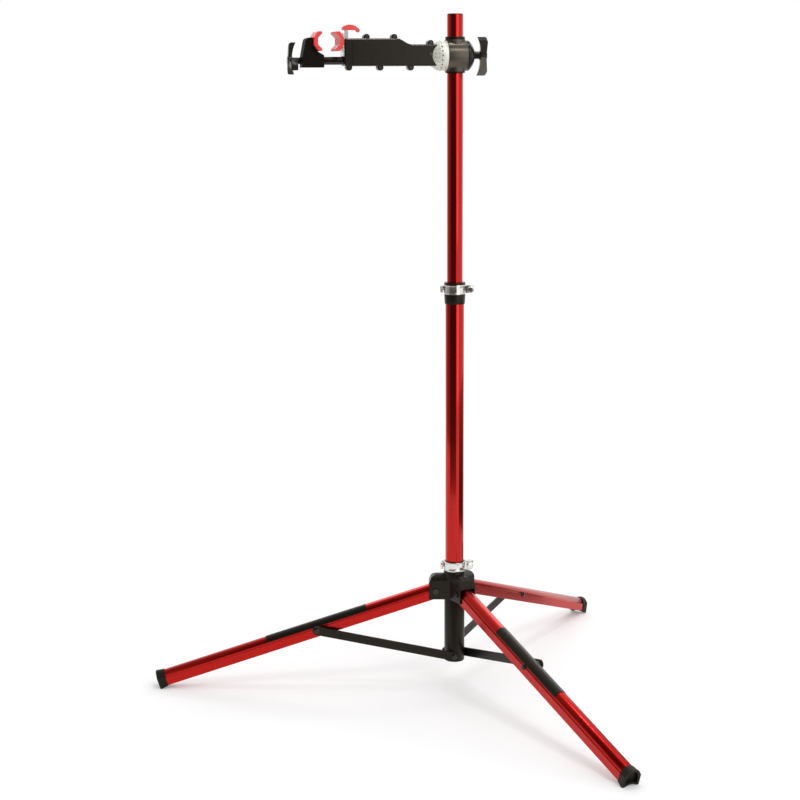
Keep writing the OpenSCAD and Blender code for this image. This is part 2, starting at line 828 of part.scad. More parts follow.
module head_casting() color(grey) {
    at_head() difference() {
        union() {
            rod_x(head_r, -head_front, head_back);
            translate([0, 0, -boss_half]) cylinder(r = boss_r, h = 2 * boss_half);
        }
        translate([0, 0, -far]) cylinder(r = boss_in, h = 2 * far);
        rod_x(shoe_r + run_gap, 0, far);
        rod_x(brake_r + run_gap, -far, 0);
    }
}

// Radial notches on a face that looks along +X
module teeth(at) {
    notch = PI * index_r / tooth_n * 0.8;
    for (k = [0:tooth_n - 1]) rotate([360 * k / tooth_n, 0, 0])
        translate([at - tooth_d, -notch / 2, index_r - tooth_len])
        cube([2 * tooth_d, notch, 2 * tooth_len]);
}

module index_ring() color(chrome) {
    at_arm() difference() {
        rod_x(index_r, head_front + gap, index_reach);
        translate([0, 0, -far]) cylinder(r = boss_r + run_gap, h = 2 * far);
        rod_x(shaft_r + run_gap, 0, far);
        rod_x(clip_r + 1, 0, clip_room);
        teeth(index_reach);
    }
}

// A plug round X whose end is part of a ball, from a foot of a given radius
module ball_end(foot_r, ball_r, ball_at, from, to) {
    start = acos(foot_r / ball_r);
    end = asin((to - ball_at) / ball_r);
    steps = 10;
    rotate([0, 90, 0]) rotate_extrude() polygon(concat(
        [[0, from], [foot_r, from]],
        [for (i = [0:steps]) let (a = start + (end - start) * i / steps)
            [ball_r * cos(a), ball_at + ball_r * sin(a)]],
        [[0, to]]
    ));
}

module index_hub() color(chrome) {
    flute_tilt = 34.5;
    flute_len = 20;
    at_arm() difference() {
        ball_end(index_r, hub_ball_r, hub_ball_at, index_hub_from, index_hub_to);
        rod_x(shaft_r + run_gap, 0, far);
        for (k = [0:tooth_n - 1])
            rotate([360 * (k + 0.5) / tooth_n, 0, 0])
            translate([hub_ball_at, 0, 0]) rotate([0, flute_tilt, 0])
            translate([-flute_len / 2, -flute_w / 2, hub_ball_r - flute_d])
            cube([flute_len, flute_w, 2 * flute_d]);
    }
}

module dome_cap() color(black) {
    dome_inset = 0.4;
    at_head() difference() {
        ball_end(head_r - dome_inset, dome_ball_r, dome_ball_at, dome_from, dome_to);
        rod_x(screw_r + run_gap, 0, far);
        rod_x(shoe_r + gap, 0, shoe_back + shoe_room);
    }
}

module brake_shoe() color(black) {
    at_arm() difference() {
        rod_x(brake_r, head_bush_r / 2, shaft_from - touch);
        translate([0, 0, -far]) cylinder(r = head_bush_r + run_gap, h = 2 * far);
    }
}

module pressure_shoe() color(black) {
    at_head() difference() {
        rod_x(shoe_r, head_bush_r / 2, shoe_back);
        translate([0, 0, -far]) cylinder(r = head_bush_r + run_gap, h = 2 * far);
    }
}

module head_screw() color(chrome) {
    at_head() rod_x(screw_r, shoe_back + touch, dome_to + handle_gap + handle_bore);
}

// Side view of one wing: swept outer edge, scooped inner edge
module wing_side(length, reach, waist, tip) {
    corner = 4;
    bite = 1.2;
    end_x = length - wing_sweep;
    tip_x = end_x - tip;
    waist_x = length - waist;
    sag = waist_x - tip_x;
    scoop_r = (reach * reach + sag * sag) / (2 * sag);
    spare = 2;
    difference() {
        polygon([
            [tip_x - spare, 0], [length, 0], [end_x, reach - corner], [end_x - bite, reach - bite],
            [end_x - corner, reach], [tip_x - spare, reach]
        ]);
        translate([waist_x - scoop_r, 0]) circle(r = scoop_r);
    }
}

// A three-winged handle along +X from its base, with one wing up
module winged_handle(length, reach, waist, tip) {
    boss_end_r = wing_w * 0.7;
    boss_end = length + 0.6;
    difference() {
        union() {
            rod_x(stem_r, 0, length - 1);
            rod_x(boss_end_r, length - waist - 1.5, boss_end);
            for (k = [0:2]) rotate([120 * k, 0, 0])
                plate_y(-wing_w / 2, wing_w / 2) wing_side(length, reach, waist, tip);
        }
        rod_x(screw_r + run_gap, -1, handle_bore + touch);
    }
}

module head_handle() color(black) {
    at_head() translate([dome_to + handle_gap, 0, 0]) rotate([head_handle_turn, 0, 0])
        winged_handle(head_handle_len, head_wing_reach, head_wing_waist, head_wing_tip);
}

// Arm

module arm_shaft() color(chrome) {
    at_arm() difference() {
        rod_x(shaft_r, shaft_from, shaft_to);
        difference() {
            rod_x(shaft_r + 1, clip_at, clip_at + clip_t);
            rod_x(clip_groove_r, 0, far);
        }
    }
}

module shaft_clip() color(chrome) {
    at_arm() difference() {
        rod_x(clip_r, clip_at + run_gap, clip_at + clip_t - run_gap);
        rod_x(clip_groove_r + run_gap, 0, far);
        translate([0, -clip_mouth / 2, 0]) cube([far, clip_mouth, far]);
    }
}

// Height of the arm's top edge along the arm
function arm_top(t) =
    let (u = min(1, max(0, (t - arm_step_from) / arm_step_len)))
    arm_low + (arm_high - arm_low) * (1 - cos(180 * u)) / 2;

// Side view of the arm, drawn in by an inset, as a ring at one depth
function arm_ring(inset, from, y, corner) =
    let (
        end = arm_end - inset,
        low = inset - arm_bottom,
        step = [for (i = [0:12]) let (t = arm_step_from + arm_step_len * i / 12)
            [t, arm_top(t) - inset]],
        top_end = arc(end - corner, arm_high - inset - corner, corner, 90, 0, 4),
        low_end = arc(end - corner, low + corner, corner, 0, -90, 4),
        side = concat([[from + inset, low], [from + inset, arm_low - inset]], step, top_end, low_end)
    )
    [for (p = side) [p[0], y, p[1]]];

// Places of the screw lugs along the arm
function lug_places() = [
    for (t = [index_hub_to + 1.5, arm_step_to + 3, arm_end - 46]) [t, arm_top(t) + shell_lug_out],
    for (t = [arm_step_from, (arm_step_from + arm_end) / 2 - 6, arm_end - 11])
        [t, -arm_bottom - shell_lug_out]
];

// The front shell; the rear one is its mirror image
module arm_shell() {
    part_y = 0.05;
    floor_y = arm_half - shell_wall;
    outer_r = 4;
    inner_r = 2;
    rod_room = 0.5;
    bush_rib = 2;
    screw_room = shell_screw_r + 0.1;
    difference() {
        union() {
            loft([
                arm_ring(0, arm_from, part_y, outer_r),
                arm_ring(0, arm_from, arm_half - shell_chamfer, outer_r),
                arm_ring(shell_chamfer, arm_from, arm_half, inner_r)
            ]);
            for (p = lug_places()) translate([p[0], 0, p[1]]) rod_y(shell_lug_r, part_y, shell_lug_d);
            end_band();
        }
        difference() {
            loft([
                arm_ring(shell_wall, cavity_from - shell_wall, -1, inner_r),
                arm_ring(shell_wall, cavity_from - shell_wall, floor_y, inner_r)
            ]);
            translate([rear_bush_from + 1, -2, -far]) cube([rear_bush_len - 2, far, 2 * far]);
            translate([front_bush_from + 1, -2, -far])
                cube([far, far, far + rod_z + rod_bush_r + bush_rib]);
        }
        ball_end(index_r + gap, hub_ball_r + gap, hub_ball_at, index_hub_from - gap, index_hub_to + gap);
        rod_x(shaft_r + run_gap, 0, shaft_to + 1);
        translate([0, 0, rod_z]) {
            rod_x(rod_r + rod_room, cavity_from, far + arm_end);
            rod_x(rod_bush_r + run_gap, rear_bush_from, rear_bush_from + rear_bush_len);
            rod_x(rod_bush_r + run_gap, front_bush_from, far + arm_end);
        }
        translate([stem_from - stem_swing, -1, 0])
            cube([stem_to - stem_from + stem_swing + 1.5, lever_half + 2, far]);
        for (p = lug_places()) translate([p[0], 0, p[1]]) {
            rod_y(screw_room, -1, far);
            rod_y(shell_screw_head_r + gap, shell_lug_d, far);
        }
        translate([side_screw_t, 0, side_screw_z]) rod_y(screw_room, arm_half - side_screw_d - 0.5, far);
    }
}

// The raised band round the jaw end of the shell
module end_band() {
    band_w = 2;
    band_up = 0.8;
    inset = 4;
    plate_y(arm_half - inset, arm_half + band_up)
        translate([arm_end - 18, inset - arm_bottom]) square([band_w, arm_bottom + arm_high - 2 * inset]);
}

module arm_shell_front() color(black) at_arm() arm_shell();
module arm_shell_rear() color(black) at_arm() mirror([0, 1, 0]) arm_shell();

module shell_screws() color(chrome) {
    lug_head_h = 2.2;
    side_head_h = 1.6;
    point = 2;
    at_arm() {
        for (p = lug_places()) translate([p[0], 0, p[1]]) {
            rod_y(shell_screw_r, -shell_lug_d - point, shell_lug_d + eps);
            rod_y(shell_screw_head_r, shell_lug_d, shell_lug_d + lug_head_h);
        }
        translate([side_screw_t, 0, side_screw_z]) {
            rod_y(shell_screw_r, arm_half - side_screw_d, arm_half + eps);
            rod_y(shell_screw_head_r, arm_half, arm_half + side_head_h);
        }
    }
}

module rod_bushes() color(black) {
    at_arm() translate([0, 0, rod_z])
        for (span = [[rear_bush_from, rear_bush_from + rear_bush_len], [front_bush_from, arm_end]])
            difference() {
                rod_x(rod_bush_r, span[0] + run_gap, span[1] - run_gap);
                rod_x(rod_r + run_gap, 0, far + arm_end);
            }
}

module clamp_rod() color(grey) {
    at_arm() translate([0, 0, rod_z]) difference() {
        rod_x(rod_r, rod_from, rod_to);
        rod_x(screw_r + run_gap, feed_hole_end, far + rod_to);
    }
}

module lever_pin() color(chrome) {
    at_arm() translate([lever_pivot_t, 0, lever_pivot_z])
        rod_y(lever_pin_r, shell_wall + gap - arm_half, arm_half - shell_wall - gap);
}

// Side view of the release lever: a bar inside the arm, a stem and a finger hook above it
module lever_side() {
    translate([lever_pivot_t, lever_pivot_z]) circle(r = lever_boss_r);
    translate([lever_pivot_t, lever_bar_z]) square([stem_to - lever_pivot_t, lever_bar_h]);
    translate([stem_from, lever_bar_z]) square([stem_to - stem_from, hook_under + 1 - lever_bar_z]);
    intersection() {
        translate([hook_t, hook_z]) circle(r = hook_r);
        translate([hook_tip, hook_under]) square([hook_blunt - hook_tip, hook_r]);
    }
    translate([hook_tip + hook_tip_r / 2, hook_under - 0.7]) circle(r = hook_tip_r);
}

module release_lever() color(red) {
    at_arm() difference() {
        plate_y(-lever_half, lever_half) lever_side();
        translate([lever_pivot_t, 0, lever_pivot_z]) rod_y(lever_pin_r + run_gap, -far, far);
    }
}

module half_nut() color(chrome) {
    nut_half = 9;
    nut_low = rod_z + 3;
    post_len = 5;
    post_half = 4;
    at_arm() difference() {
        union() {
            translate([half_nut_from, -nut_half, nut_low])
                cube([half_nut_to - half_nut_from, 2 * nut_half, half_nut_top - nut_low]);
            translate([half_nut_to - post_len, -post_half, 0])
                cube([post_len, 2 * post_half, lever_bar_z - 2 * gap]);
        }
        translate([0, 0, rod_z]) rod_x(rod_r + touch, 0, far + arm_end);
    }
}

// Return spring between the lever's bar and the shells' roof
spring_t = lever_pivot_t + 13;
spring_r = 3;
spring_wire = 0.45;
spring_turns = 2.5;
spring_foot = lever_bar_z + lever_bar_h + spring_wire + touch;
spring_head = arm_high - shell_wall - spring_wire - touch;

function spring_point(u) = [
    spring_r * cos(360 * spring_turns * u),
    spring_r * sin(360 * spring_turns * u),
    spring_foot + (spring_head - spring_foot) * u
];

module lever_spring() color(chrome) {
    rings = 24;
    sides = 6;
    at_arm() translate([spring_t, 0, 0]) loft([for (k = [0:rings])
        let (u = k / rings, p = spring_point(u), a = 360 * spring_turns * u)
        [for (j = [0:sides - 1]) let (b = -360 * j / sides)
            p + spring_wire * [cos(b) * cos(a), cos(b) * sin(a), sin(b)]]]);
}

// Jaws

module jaw_plate() color(chrome) {
    low = rod_z + rod_r + 1;
    top = jaw_z + jaw_h - 2;
    at_arm() translate([arm_end + gap, -carrier_half, low])
        cube([jaw_plate_t, 2 * carrier_half, top - low]);
}

// Side view of a jaw whose back is at X = 0 and whose grooved face looks along +X
module jaw_side(inset) {
    lip = 4;
    flat = 6;
    mid = jaw_h / 2;
    tip = jaw_t - inset;
    root = jaw_t - jaw_groove - inset;
    polygon([
        [0, jaw_back_h], [jaw_back_d, 0], [tip, 0], [tip, lip], [root, mid - flat], [root, mid + flat],
        [tip, jaw_h - lip], [tip, jaw_h], [jaw_back_d, jaw_h], [0, jaw_h - jaw_back_h]
    ]);
}

module jaw() {
    pitch = jaw_len / jaw_ribs;
    difference() {
        plate_y(-jaw_len / 2, jaw_len / 2) jaw_side(0);
        for (k = [1:jaw_ribs - 1])
            translate([0, k * pitch - jaw_len / 2, 0]) plate_y(-jaw_cut_w / 2, jaw_cut_w / 2) difference() {
                translate([1, -1]) square([jaw_t, jaw_h + 2]);
                jaw_side(jaw_cut_d);
            }
    }
}

module fixed_jaw() color(red) at_arm() translate([fixed_jaw_from, 0, jaw_z]) jaw();

module moving_jaw() color(red) at_arm() translate([moving_jaw_to, 0, jaw_z]) mirror([1, 0, 0]) jaw();

// Side view of the jaw carrier: a foot round the rod and an upright behind the jaw
module carrier_side() {
    low = -arm_bottom - 2.5;
    top = jaw_z + jaw_h - jaw_back_h;
    seat_low = [carrier_seat, jaw_z + jaw_back_h - gap / 3];
    shelf = [moving_jaw_to - jaw_back_d + gap / 2, jaw_z - gap];
    foot_top = rod_z + rod_r + 2.5;
    round_r = 8;
    round_t = carrier_end - 6 - round_r;
    polygon(concat(
        [[carrier_foot, low], [carrier_end, low], [carrier_end, rod_z + stem_r]],
        arc(round_t, top - round_r, round_r, 15, 90, 6),
        [[carrier_seat, top], seat_low, shelf, [carrier_foot, foot_top]]
    ));
}

module jaw_carrier() color(black) {
    at_arm() difference() {
        plate_y(-carrier_half, carrier_half) carrier_side();
        translate([0, 0, rod_z]) {
            rod_x(rod_r + run_gap, 0, rod_bore_end);
            rod_x(screw_r + run_gap, 0, far + carrier_end);
        }
    }
}

module feed_screw() color(chrome) {
    at_arm() translate([0, 0, rod_z]) rod_x(screw_r, feed_tip, carrier_end + handle_gap + handle_bore);
}

module jaw_handle() color(black) {
    at_arm() translate([carrier_end + handle_gap, 0, rod_z]) rotate([jaw_handle_turn, 0, 0])
        winged_handle(jaw_handle_len, jaw_wing_reach, jaw_wing_waist, jaw_wing_tip);
}

lower_tube();
base_sleeve();
base_plug();
brace_rivets();
mid_collar();
mid_qr_band();
mid_qr_skewer();
mid_qr_nut();
mid_qr_lever();
upper_tube();
tube_bush();
top_cap();
tripod_hub();
leg_pins();
hub_qr_band();
hub_qr_skewer();
hub_qr_nut();
hub_qr_lever();
leg(0);  // leg_1
leg(1);  // leg_2
leg(2);  // leg_3
foot_cap(0);  // foot_cap_1
foot_cap(1);  // foot_cap_2
foot_cap(2);  // foot_cap_3
leg_bolt(0);  // leg_bolt_1
leg_bolt(1);  // leg_bolt_2
leg_bolt(2);  // leg_bolt_3
brace(0);  // brace_1
brace(1);  // brace_2
brace(2);  // brace_3
brace_bolt(0);  // brace_bolt_1
brace_bolt(1);  // brace_bolt_2
brace_bolt(2);  // brace_bolt_3
head_bush();
head_casting();
index_ring();
dome_cap();
brake_shoe();
pressure_shoe();
head_screw();
head_handle();
index_hub();
arm_shaft();
shaft_clip();
arm_shell_front();
arm_shell_rear();
shell_screws();
rod_bushes();
lever_pin();
lever_spring();
jaw_plate();
fixed_jaw();
release_lever();
half_nut();
clamp_rod();
jaw_carrier();
moving_jaw();
feed_screw();
jaw_handle();
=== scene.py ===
import json
import math

import bmesh
import bpy
from mathutils import Matrix, Vector


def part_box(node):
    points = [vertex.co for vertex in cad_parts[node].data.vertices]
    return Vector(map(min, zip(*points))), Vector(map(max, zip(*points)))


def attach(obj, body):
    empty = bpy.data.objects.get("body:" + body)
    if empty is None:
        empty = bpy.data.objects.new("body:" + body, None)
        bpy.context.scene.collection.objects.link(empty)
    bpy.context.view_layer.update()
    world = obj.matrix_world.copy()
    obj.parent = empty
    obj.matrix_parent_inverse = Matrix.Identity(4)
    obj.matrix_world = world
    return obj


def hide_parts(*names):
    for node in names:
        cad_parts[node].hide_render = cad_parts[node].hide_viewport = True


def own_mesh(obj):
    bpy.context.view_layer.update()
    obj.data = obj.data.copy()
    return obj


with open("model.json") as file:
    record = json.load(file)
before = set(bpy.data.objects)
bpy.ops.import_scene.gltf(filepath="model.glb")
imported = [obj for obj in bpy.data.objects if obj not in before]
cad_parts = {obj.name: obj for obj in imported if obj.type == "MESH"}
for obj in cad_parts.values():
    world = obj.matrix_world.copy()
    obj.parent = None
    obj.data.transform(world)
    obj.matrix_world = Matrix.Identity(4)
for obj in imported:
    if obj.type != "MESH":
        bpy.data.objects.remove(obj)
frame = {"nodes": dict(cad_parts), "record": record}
nodes = frame["nodes"]
record = frame["record"]
slot_of = {row["node"]: row["material_slot"] for row in record["subparts"]}
joint_of = {row["name"]: row for row in record["behaviour"]["joints"]}
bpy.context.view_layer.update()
scene = bpy.context.scene

# Camera, as fitted to the feet, the leg bolts and the mast
VIEW_TURN = math.radians(-14)
CAMERA_DISTANCE = 3.5345
CAMERA_HEIGHT = 1.2465
CAMERA_YAW = -0.03155
CAMERA_PITCH = 0.17774
CAMERA_ROLL = -0.0043
FOCAL_PIXELS = 1759.3
FRAME_PIXELS = 800
SENSOR_MM = 36.0
CLIP_NEAR = 0.05
CLIP_FAR = 100


def make_camera():
    data = bpy.data.cameras.new("camera")
    data.sensor_width = SENSOR_MM
    data.lens = FOCAL_PIXELS / FRAME_PIXELS * SENSOR_MM
    data.clip_start = CLIP_NEAR
    data.clip_end = CLIP_FAR
    ahead = Vector((math.sin(CAMERA_YAW), math.cos(CAMERA_YAW), 0))
    level = Vector((math.cos(CAMERA_YAW), -math.sin(CAMERA_YAW), 0))
    forward = math.cos(CAMERA_PITCH) * ahead - math.sin(CAMERA_PITCH) * Vector((0, 0, 1))
    upright = math.sin(CAMERA_PITCH) * ahead + math.cos(CAMERA_PITCH) * Vector((0, 0, 1))
    right = math.cos(CAMERA_ROLL) * level + math.sin(CAMERA_ROLL) * upright
    up = math.cos(CAMERA_ROLL) * upright - math.sin(CAMERA_ROLL) * level
    axes = Matrix((right, up, -forward)).transposed().to_4x4()
    place = Matrix.Translation((0, -CAMERA_DISTANCE, CAMERA_HEIGHT)) @ axes
    camera = bpy.data.objects.new("camera", data)
    camera.matrix_world = Matrix.Rotation(VIEW_TURN, 4, "Z") @ place
    scene.collection.objects.link(camera)
    scene.camera = camera


# Studio: a white room with soft boxes on the right, behind and overhead,
# and cards that darken what reflections see in front, on the left and low on the right
SKY_LEVEL = 0.75
FLOOR_WHITE = 0.8
FLOOR_ROUGHNESS = 0.9
FLOOR_SIZE = 80
# How much whiter the floor looks than it is lit, near the part and far away, in metres from the mast
LIFT_NEAR = 0.20
LIFT_FAR = 0.45
NEAR = 1.0
FAR = 4.0
# Cards that reflections see: rows of radius and height in metres and the turns that the card hangs between,
# and its brightness by height
CARDS = {
    "dark_side": (
        ((1.5, 0.02, -58, 20), (1.5, 0.5, -58, 20), (1.5, 1.2, -58, 20), (1.6, 1.8, -58, 15),
         (1.6, 3.2, -58, 5), (1.1, 4.0, -58, 5), (0.2, 4.3, -58, 5)),
        ((0.0, 0.42), (0.35, 0.14), (1.0, 0.08), (2.0, 0.10), (3.2, 0.14), (4.3, 0.25)),
    ),
    "dim_side": (
        ((1.5, 0.3, -90, -58), (1.5, 1.2, -90, -58), (1.6, 2.2, -90, -58), (1.6, 3.2, -90, -58),
         (1.1, 4.0, -90, -58)),
        ((0.3, 0.36), (1.2, 0.28), (4.0, 0.5)),
    ),
    "pale_side": (
        ((1.5, 0.3, -112, -90), (1.5, 1.2, -122, -90), (1.6, 2.2, -128, -90), (1.6, 3.2, -132, -90),
         (1.1, 4.0, -132, -90)),
        ((0.3, 0.5), (1.2, 0.55), (4.0, 0.8)),
    ),
    "dark_strip": (
        ((1.0, 0.02, 58, 130), (1.0, 0.62, 58, 130)),
        ((0.0, 0.10), (0.3, 0.2), (0.62, 0.5)),
    ),
    "low_strip": (
        ((0.6, 0.005, 112, 140), (0.6, 0.12, 112, 140)),
        ((0.005, 0.8), (0.03, 0.4), (0.06, 0.15), (0.12, 0.1)),
    ),
}
CARD_COLUMNS = 24
WARM = (1.0, 0.92, 0.84)


def camera_side(angle, radius, height):
    """A point round the mast; angle 0 is towards the camera, positive to its right."""
    turn = VIEW_TURN + math.radians(angle - 90)
    return Vector((radius * math.cos(turn), radius * math.sin(turn), height))


# Soft boxes: place, the point that each faces, width and height in metres, and brightness
LAMPS = {
    "key": (camera_side(38, 3.2, 2.2), (0, 0, 1.0), (1.7, 3.6), 1.08),
    "back": (camera_side(175, 3.3, 2.7), (0, 0, 0.4), (4.2, 1.3), 1.8),
    "strip": (camera_side(28, 2.2, 3.4), (0, 0, 1.3), (1.4, 0.35), 11),
    "top": ((0.2, 0.05, 3.7), (0.2, 0.051, 1.3), (0.45, 0.3), 26),
}


def seen_directly(tree):
    """A socket that is 1 for camera, glossy and transmitted rays, and 0 for the others."""
    path = tree.nodes.new("ShaderNodeLightPath")
    total = path.outputs["Is Camera Ray"]
    for kind in ("Is Glossy Ray", "Is Transmission Ray"):
        either = tree.nodes.new("ShaderNodeMath")
        either.operation = "MAXIMUM"
        tree.links.new(total, either.inputs[0])
        tree.links.new(path.outputs[kind], either.inputs[1])
        total = either.outputs[0]
    return total


def span(tree, socket, low, high, start=0.0, end=1.0):
    """A socket that runs from low to high as another runs from start to end."""
    node = tree.nodes.new("ShaderNodeMapRange")
    node.inputs["From Min"].default_value = start
    node.inputs["From Max"].default_value = end
    node.inputs["To Min"].default_value = low
    node.inputs["To Max"].default_value = high
    tree.links.new(socket, node.inputs["Value"])
    return node.outputs["Result"]


def own_place(tree, axis):
    """One coordinate of the piece's own frame, in metres."""
    place = tree.nodes.new("ShaderNodeTexCoord")
    split = tree.nodes.new("ShaderNodeSeparateXYZ")
    tree.links.new(place.outputs["Object"], split.inputs["Vector"])
    return split.outputs[axis]


def world_light():
    world = bpy.data.worlds.new("studio")
    world.use_nodes = True
    scene.world = world
    tree = world.node_tree
    shade = tree.nodes["Background"]
    shade.inputs["Color"].default_value = (1, 1, 1, 1)
    tree.links.new(span(tree, seen_directly(tree), SKY_LEVEL, 1.0), shade.inputs["Strength"])


def soft_box(name, place, target, size, level):
    """An area light as bright as level times a white surface."""
    data = bpy.data.lights.new(name, "AREA")
    data.shape = "RECTANGLE"
    data.size, data.size_y = size
    data.energy = level * math.pi * size[0] * size[1]
    lamp = bpy.data.objects.new(name, data)
    lamp.location = place
    lamp.rotation_mode = "QUATERNION"
    lamp.rotation_quaternion = (Vector(target) - Vector(place)).to_track_quat("-Z", "Y")
    lamp.visible_camera = False
    scene.collection.objects.link(lamp)


def card_surface(name, levels):
    """A surface that shines by its height, from a list of heights and levels."""
    made = material(name, (0, 0, 0), 0.0, 1.0)
    tree = made.node_tree
    low, top = levels[0][0], levels[-1][0]
    ramp = tree.nodes.new("ShaderNodeValToRGB")
    stops = ramp.color_ramp.elements
    while len(stops) < len(levels):
        stops.new(1.0)
    for stop, (height, level) in zip(stops, levels):
        stop.position = (height - low) / (top - low)
        stop.color = (*[level * tone for tone in WARM], 1)
    tree.links.new(span(tree, own_place(tree, "Z"), 0, 1, low, top), ramp.inputs["Fac"])
    shader = tree.nodes["Principled BSDF"]
    shader.inputs["Specular IOR Level"].default_value = 0.0
    shader.inputs["Emission Strength"].default_value = 1.0
    tree.links.new(ramp.outputs["Color"], shader.inputs["Emission Color"])
    return made


def reflection_card(name, rows, levels):
    """A card that only reflections see, through rows round the mast."""
    points = []
    for radius, height, start, end in rows:
        for k in range(CARD_COLUMNS + 1):
            angle = start + (end - start) * k / CARD_COLUMNS
            points.append(camera_side(angle, radius, height))
    faces = []
    for r in range(len(rows) - 1):
        for k in range(CARD_COLUMNS):
            a = r * (CARD_COLUMNS + 1) + k
            above = a + CARD_COLUMNS + 1
            faces.append((a, a + 1, above + 1, above))
    mesh = bpy.data.meshes.new(name)
    mesh.from_pydata(points, [], faces)
    mesh.materials.append(card_surface(name, levels))
    card = bpy.data.objects.new(name, mesh)
    scene.collection.objects.link(card)
    card.visible_camera = False
    card.visible_diffuse = False
    card.visible_transmission = False
    card.visible_shadow = False


def make_studio():
    world_light()
    for name, lamp in LAMPS.items():
        soft_box(name, *lamp)
    for name, (rows, levels) in CARDS.items():
        reflection_card(name, rows, levels)


def make_floor():
    bpy.ops.mesh.primitive_plane_add(size=FLOOR_SIZE, location=(0, 0, 0))
    floor = bpy.context.object
    floor.name = "floor"
    made = material("floor", (FLOOR_WHITE, FLOOR_WHITE, FLOOR_WHITE), 0.0, FLOOR_ROUGHNESS)
    tree = made.node_tree
    shader = tree.nodes["Principled BSDF"]
    shader.inputs["Emission Color"].default_value = (1, 1, 1, 1)
    place = tree.nodes.new("ShaderNodeTexCoord")
    away = tree.nodes.new("ShaderNodeVectorMath")
    away.operation = "LENGTH"
    tree.links.new(place.outputs["Object"], away.inputs[0])
    lift = tree.nodes.new("ShaderNodeMath")
    lift.operation = "MULTIPLY"
    tree.links.new(span(tree, away.outputs["Value"], LIFT_NEAR, LIFT_FAR, NEAR, FAR), lift.inputs[0])
    tree.links.new(seen_directly(tree), lift.inputs[1])
    tree.links.new(lift.outputs["Value"], shader.inputs["Emission Strength"])
    floor.data.materials.append(made)


# Surfaces

COAT_ROUGHNESS = 0.08
# Turn of a brushed surface's streaks, as a share of a full turn
BRUSH_TURN = 0.25
# A mix node's colour sockets, by their place in the node
MIX_FIRST = 6
MIX_SECOND = 7
MIX_COLOR = 2
# Scale and detail of the noise that handling leaves, and detail of a grain or a mottle
WEAR_SCALE = 14
WEAR_DETAIL = 5
GRAIN_DETAIL = 4
# Fine lines on drawn tubes and turned pieces: detail, depth in metres, scale, length and strength
LINE_DETAIL = 3
LINE_DEPTH = 0.0002
DRAWN_SCALE = 900
DRAWN_LENGTH = 60
DRAWN_STRENGTH = 0.025
TURNED_SCALE = 1500
TURNED_LENGTH = 40
TURNED_STRENGTH = 0.12


def material(name, color, metallic, roughness, coat=0.0, brushed=0.0):
    made = bpy.data.materials.new(name)
    made.use_nodes = True
    shader = made.node_tree.nodes["Principled BSDF"]
    shader.inputs["Base Color"].default_value = (*color, 1)
    shader.inputs["Metallic"].default_value = metallic
    shader.inputs["Roughness"].default_value = roughness
    shader.inputs["Coat Weight"].default_value = coat
    shader.inputs["Coat Roughness"].default_value = COAT_ROUGHNESS
    shader.inputs["Anisotropic"].default_value = brushed
    shader.inputs["Anisotropic Rotation"].default_value = BRUSH_TURN if brushed else 0.0
    made.diffuse_color = (*color, 1)
    return made


def noise(tree, scale, detail, stretch=(1, 1, 1), turn=(0, 0, 0)):
    """A noise over the piece's own place, which may be stretched along a turned frame."""
    place = tree.nodes.new("ShaderNodeTexCoord")
    fit = tree.nodes.new("ShaderNodeMapping")
    fit.vector_type = "TEXTURE"
    fit.inputs["Rotation"].default_value = turn
    fit.inputs["Scale"].default_value = stretch
    tree.links.new(place.outputs["Object"], fit.inputs["Vector"])
    made = tree.nodes.new("ShaderNodeTexNoise")
    made.inputs["Scale"].default_value = scale
    made.inputs["Detail"].default_value = detail
    tree.links.new(fit.outputs["Vector"], made.inputs["Vector"])
    return made.outputs["Fac"]


def bump(made, height, strength, distance):
    tree = made.node_tree
    node = tree.nodes.new("ShaderNodeBump")
    node.inputs["Strength"].default_value = strength
    node.inputs["Distance"].default_value = distance
    tree.links.new(height, node.inputs["Height"])
    tree.links.new(node.outputs["Normal"], tree.nodes["Principled BSDF"].inputs["Normal"])


def grain(made, scale, strength, distance):
    """A fine moulded or sprayed grain."""
    bump(made, noise(made.node_tree, scale, GRAIN_DETAIL), strength, distance)
    return made


def worn(made, low, high):
    """Gloss that varies with handling."""
    tree = made.node_tree
    gloss = span(tree, noise(tree, WEAR_SCALE, WEAR_DETAIL), low, high)
    tree.links.new(gloss, tree.nodes["Principled BSDF"].inputs["Roughness"])
    return made


def mottled(made, color, other, scale):
    """Colour that drifts a little between two tones."""
    tree = made.node_tree
    mix = tree.nodes.new("ShaderNodeMix")
    mix.data_type = "RGBA"
    mix.inputs[MIX_FIRST].default_value = (*color, 1)
    mix.inputs[MIX_SECOND].default_value = (*other, 1)
    tree.links.new(noise(tree, scale, GRAIN_DETAIL), mix.inputs["Factor"])
    tree.links.new(mix.outputs[MIX_COLOR], tree.nodes["Principled BSDF"].inputs["Base Color"])
    return made


def drawn(made, turn, low, high):
    """Fine lines along a drawn tube: long and thin in the tube's own frame."""
    tree = made.node_tree
    lines = noise(tree, DRAWN_SCALE, LINE_DETAIL, stretch=(DRAWN_LENGTH, 1, 1), turn=turn)
    tree.links.new(span(tree, lines, low, high), tree.nodes["Principled BSDF"].inputs["Roughness"])
    bump(made, lines, DRAWN_STRENGTH, LINE_DEPTH)
    return made


def turned(made, low, high):
    """Fine lines round the arm's axis, as a lathe or a brush leaves them."""
    tree = made.node_tree
    lines = noise(tree, TURNED_SCALE, LINE_DETAIL, stretch=(1, TURNED_LENGTH, TURNED_LENGTH))
    tree.links.new(span(tree, lines, low, high), tree.nodes["Principled BSDF"].inputs["Roughness"])
    bump(made, lines, TURNED_STRENGTH, LINE_DEPTH)
    round_axis = tree.nodes.new("ShaderNodeTangent")
    round_axis.direction_type = "RADIAL"
    round_axis.axis = "X"
    tree.links.new(round_axis.outputs["Tangent"], tree.nodes["Principled BSDF"].inputs["Tangent"])
    return made


